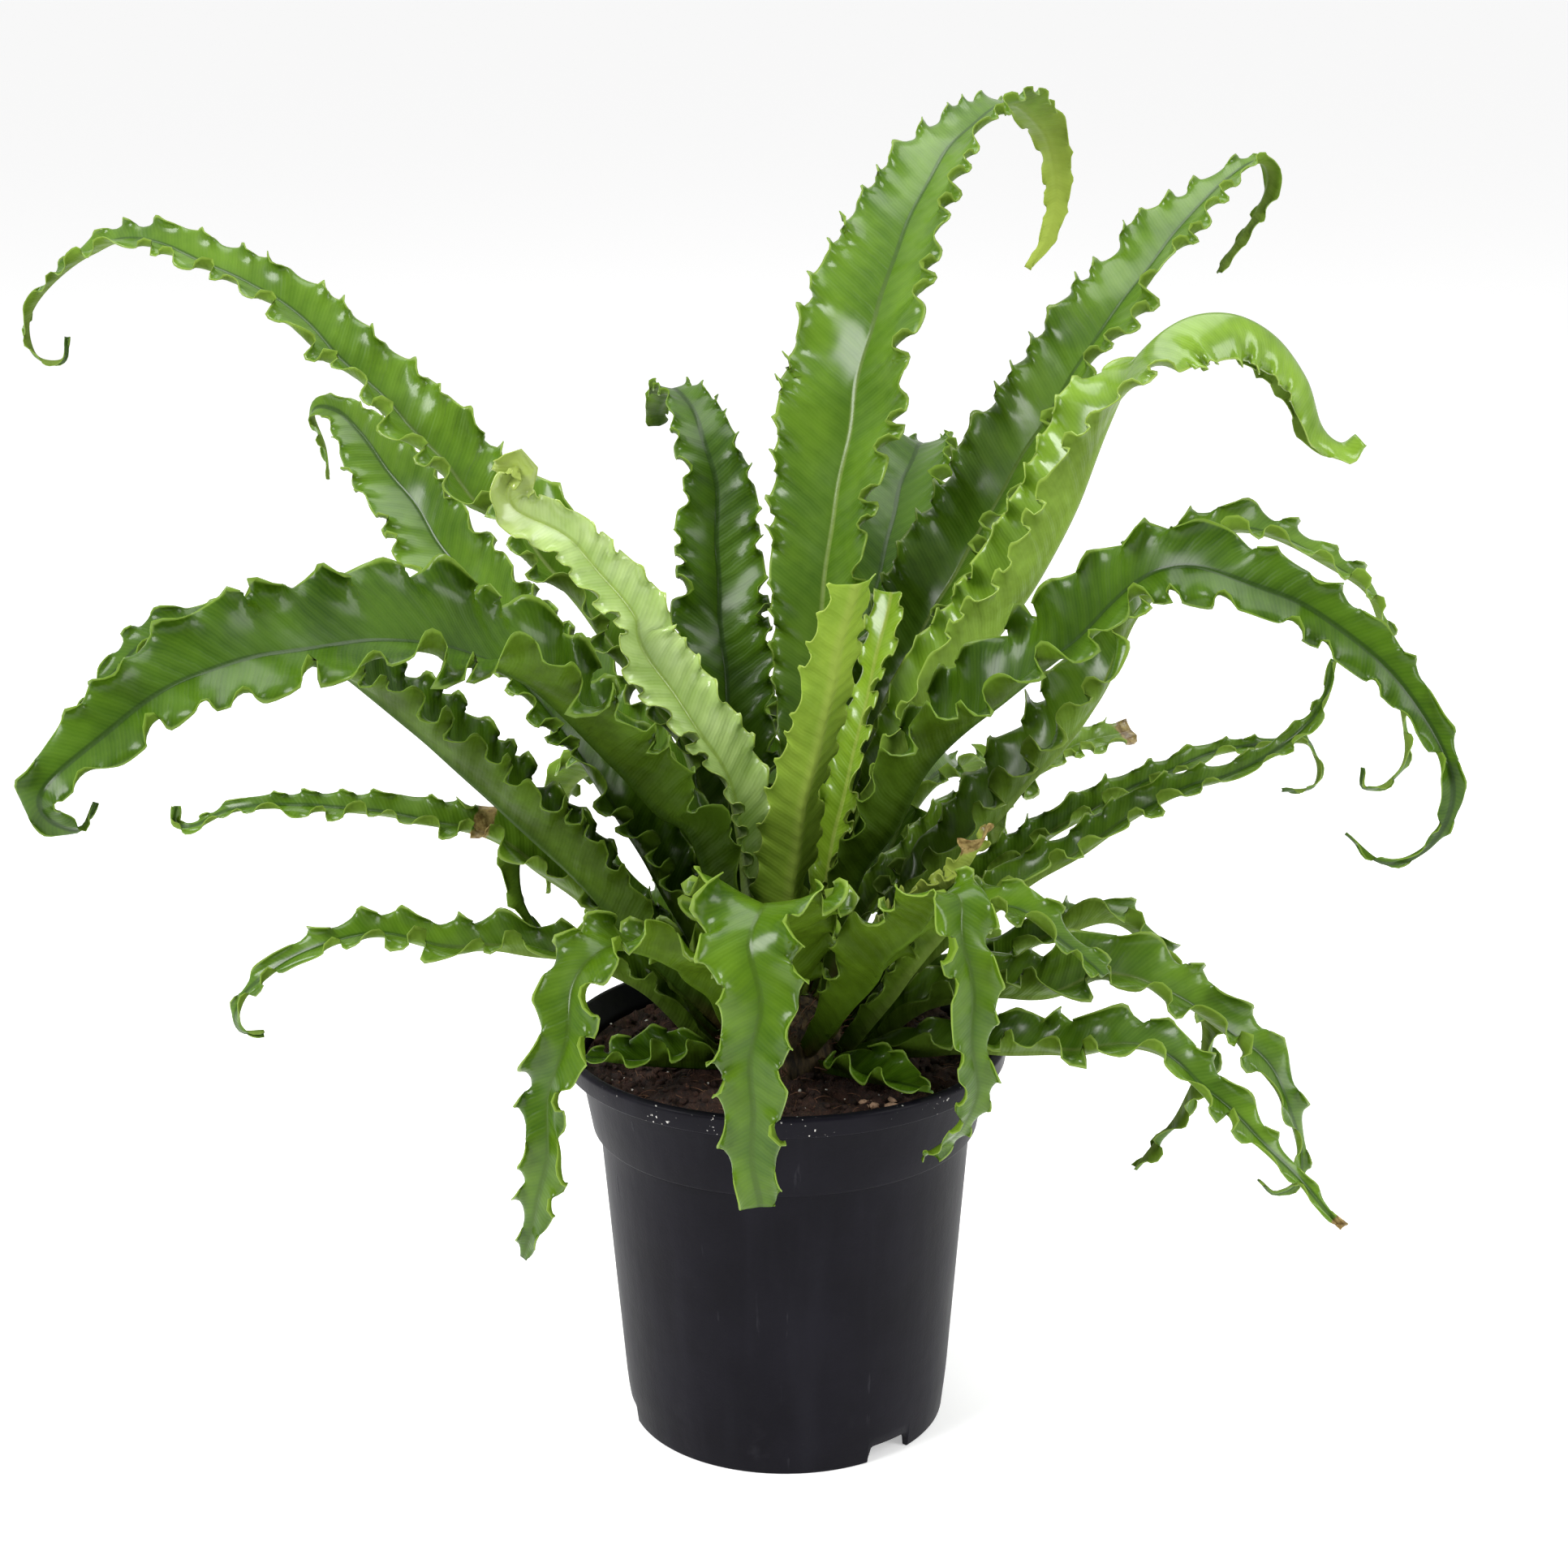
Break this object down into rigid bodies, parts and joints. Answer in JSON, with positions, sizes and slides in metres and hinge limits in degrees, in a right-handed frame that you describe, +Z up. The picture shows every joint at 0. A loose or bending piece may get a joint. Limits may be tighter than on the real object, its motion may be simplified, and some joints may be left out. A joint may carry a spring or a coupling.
{
  "type": "potted wavy-edged bird's nest fern",
  "caption": "Bird's nest fern with long strap fronds, ruffled at their edges, arching out of a plain black nursery pot",
  "frame": {"origin": "the middle of the flat underside of the pot", "axes": "+Z up out of the pot, -Y towards the front of the plant, +X to the right as seen from the front"},
  "size_m": [0.5412, 0.4294, 0.4977],
  "materials": {
    "pot": "satin black moulded polypropylene",
    "soil": "loose damp peat",
    "crown": "rough fibrous stem",
    "frond_dark": "semi-gloss leaf, dark green",
    "frond_green": "semi-gloss leaf, mid green",
    "frond_light": "glossy leaf, light green",
    "frond_young": "glossy young leaf, lime green",
    "frond_olive": "ageing leaf, olive yellow"
  },
  "bodies": {
    "root": {"pot": "pot", "soil": "soil", "crown": "crown", "frond_tall_centre": "frond_green", "frond_tall_right": "frond_green", "frond_bright_right": "frond_light", "frond_dark_behind": "frond_dark", "frond_dark_centre": "frond_dark", "frond_long_left": "frond_green", "frond_left_second": "frond_green", "frond_bright_left": "frond_light", "frond_big_left": "frond_dark", "frond_under_left": "frond_dark", "frond_inner_left": "frond_dark", "frond_torn_left": "frond_green", "frond_back_left": "frond_dark", "frond_low_left": "frond_green", "frond_hang_left": "frond_green", "frond_front_centre": "frond_green", "frond_front_right": "frond_green", "frond_low_front_left": "frond_dark", "frond_low_front_right": "frond_dark", "frond_stub_right": "frond_olive", "frond_big_right": "frond_dark", "frond_arch_right": "frond_green", "frond_straight_right": "frond_green", "frond_hooked_right": "frond_green", "frond_short_right": "frond_light", "frond_narrow_right": "frond_green", "frond_low_back_right": "frond_green", "frond_low_right": "frond_green", "frond_long_low_right": "frond_green", "frond_small_right": "frond_green", "frond_young_centre": "frond_young", "frond_young_right": "frond_young", "frond_back_tall": "frond_dark", "frond_back_arch_left": "frond_green", "frond_back_arch_right": "frond_green", "frond_back_low_left": "frond_green", "frond_back_low_centre": "frond_green", "frond_back_low_right": "frond_green", "frond_back_corner_right": "frond_green"}
  },
  "joints": []
}
